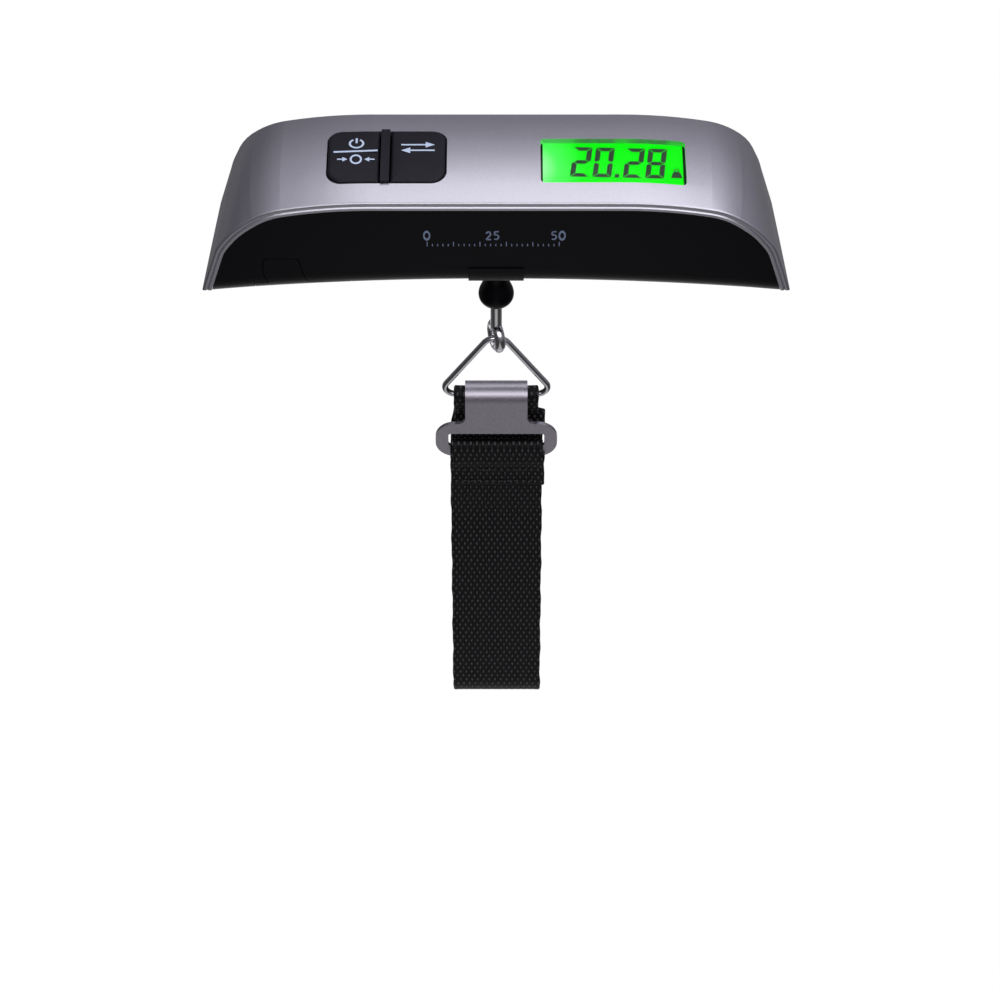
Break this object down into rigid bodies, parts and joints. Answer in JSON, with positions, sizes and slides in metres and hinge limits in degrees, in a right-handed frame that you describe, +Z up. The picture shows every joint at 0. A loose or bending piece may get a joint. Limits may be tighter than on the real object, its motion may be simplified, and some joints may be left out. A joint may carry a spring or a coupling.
{
  "type": "digital luggage scale",
  "caption": "Hand-held hanging scale with an arched two-tone grip, top keys and display, swivelling hook, triangular ring, hook-over buckle and webbing loop",
  "frame": {"origin": "on the load axis at the underside of the middle of the grip, where the hand carries the scale", "axes": "X along the grip with the keys on -X and the display on +X, the front with the low edge of the cover faces -Y, Z up along the load axis"},
  "size_m": [0.1594, 0.037, 0.2097],
  "materials": {
    "cover_silver": "satin silver paint with a soft sheen",
    "window_clear": "clear polished plastic",
    "case_black": "fine satin black moulding",
    "tray_black": "plain moulded",
    "cell_steel": "lightly turned steel can",
    "contact_steel": "bright spring steel",
    "chassis_steel": "zinc plated sheet",
    "screw_steel": "zinc plated",
    "load_cell_aluminium": "machined and clear anodised",
    "gauge_film": "amber polyimide foil",
    "coating_white": "soft white sealant",
    "wire_white": "insulated lead",
    "wire_black": "insulated lead",
    "wire_red": "insulated lead",
    "hook_chrome": "nickel plated steel rod",
    "bush_steel": "pressed sleeve",
    "ring_chrome": "nickel plated wire",
    "buckle_gunmetal": "dark nickel with bright edges",
    "webbing_black": "woven nylon webbing",
    "board_green": "solder mask over glass laminate",
    "key_rubber": "matt moulded silicone with printed marks",
    "pill_carbon": "carbon loaded silicone",
    "mat_rubber": "matt moulded silicone",
    "contact_gold": "gold flashed copper",
    "lcd_green": "lit green display with dark segments",
    "backlight_green": "diffusing light guide",
    "led_body": "moulded lamp body",
    "zebra_rubber": "layered elastomer connector",
    "frame_black": "plain moulded",
    "chip_epoxy": "moulded epoxy",
    "capacitor_tan": "ceramic chips with tinned ends",
    "crystal_can": "drawn metal can"
  },
  "bodies": {
    "grip": {"top_cover": "cover_silver", "display_window": "window_clear", "lower_case": "case_black", "battery_tray": "tray_black", "coin_cell": "cell_steel", "contact_negative": "contact_steel", "contact_positive": "contact_steel", "chassis_plate": "chassis_steel", "chassis_screws": "screw_steel", "load_cell": "load_cell_aluminium", "beam_spacer": "chassis_steel", "load_cell_screws": "screw_steel", "strain_gauges": "gauge_film", "gauge_coating": "coating_white", "gauge_wires": "wire_white", "battery_wire_black": "wire_black", "battery_wire_red": "wire_red", "hook_washer": "screw_steel", "neck_bush": "bush_steel", "circuit_board": "board_green", "board_screws": "screw_steel", "case_screws": "screw_steel", "key_mat": "mat_rubber", "key_contacts": "contact_gold", "lcd_glass": "lcd_green", "backlight_panel": "backlight_green", "backlight_led": "led_body", "zebra_strip": "zebra_rubber", "lcd_frame": "frame_black", "driver_chip": "chip_epoxy", "amplifier_chip": "chip_epoxy", "capacitors": "capacitor_tan", "crystal": "crystal_can"},
    "power_button": {"power_key": "key_rubber", "power_pill": "pill_carbon"},
    "unit_button": {"unit_key": "key_rubber", "unit_pill": "pill_carbon"},
    "door": {"battery_door": "case_black"},
    "hook": {"hook_rod": "hook_chrome", "hook_nut": "screw_steel"},
    "ring": {"triangle_ring": "ring_chrome"},
    "strap": {"strap_loop": "webbing_black"},
    "buckle": {"buckle_plate": "buckle_gunmetal", "strap_front_end": "webbing_black"}
  },
  "joints": [
    {"name": "power_key_press", "type": "slide", "parent": "grip", "child": "power_button", "axis": [0, 0, -1], "range_m": [0, 0.0008], "stiffness_N_per_m": 900, "springref_m": -0.0004},
    {"name": "unit_key_press", "type": "slide", "parent": "grip", "child": "unit_button", "axis": [0, 0, -1], "range_m": [0, 0.0008], "stiffness_N_per_m": 900, "springref_m": -0.0004},
    {"name": "battery_door_hinge", "type": "hinge", "parent": "grip", "child": "door", "pos_m": [-0.051, 0.012, -0.00088], "axis": [0.9976, 0, 0.0688], "range_deg": [0, 85]},
    {"name": "hook_swivel", "type": "hinge", "parent": "grip", "child": "hook", "pos_m": [0, 0, -0.02], "axis": [0, 0, 1], "continuous": true},
    {"name": "ring_swing", "type": "hinge", "parent": "hook", "child": "ring", "pos_m": [0, 0, -0.0343], "axis": [1, 0, 0], "range_deg": [-45, 45]},
    {"name": "strap_swing", "type": "hinge", "parent": "ring", "child": "strap", "pos_m": [0, 0, -0.0553], "axis": [1, 0, 0], "range_deg": [-45, 45]},
    {"name": "buckle_unhook", "type": "slide", "parent": "strap", "child": "buckle", "axis": [0, 0, 1], "range_m": [0, 0.0055]}
  ]
}
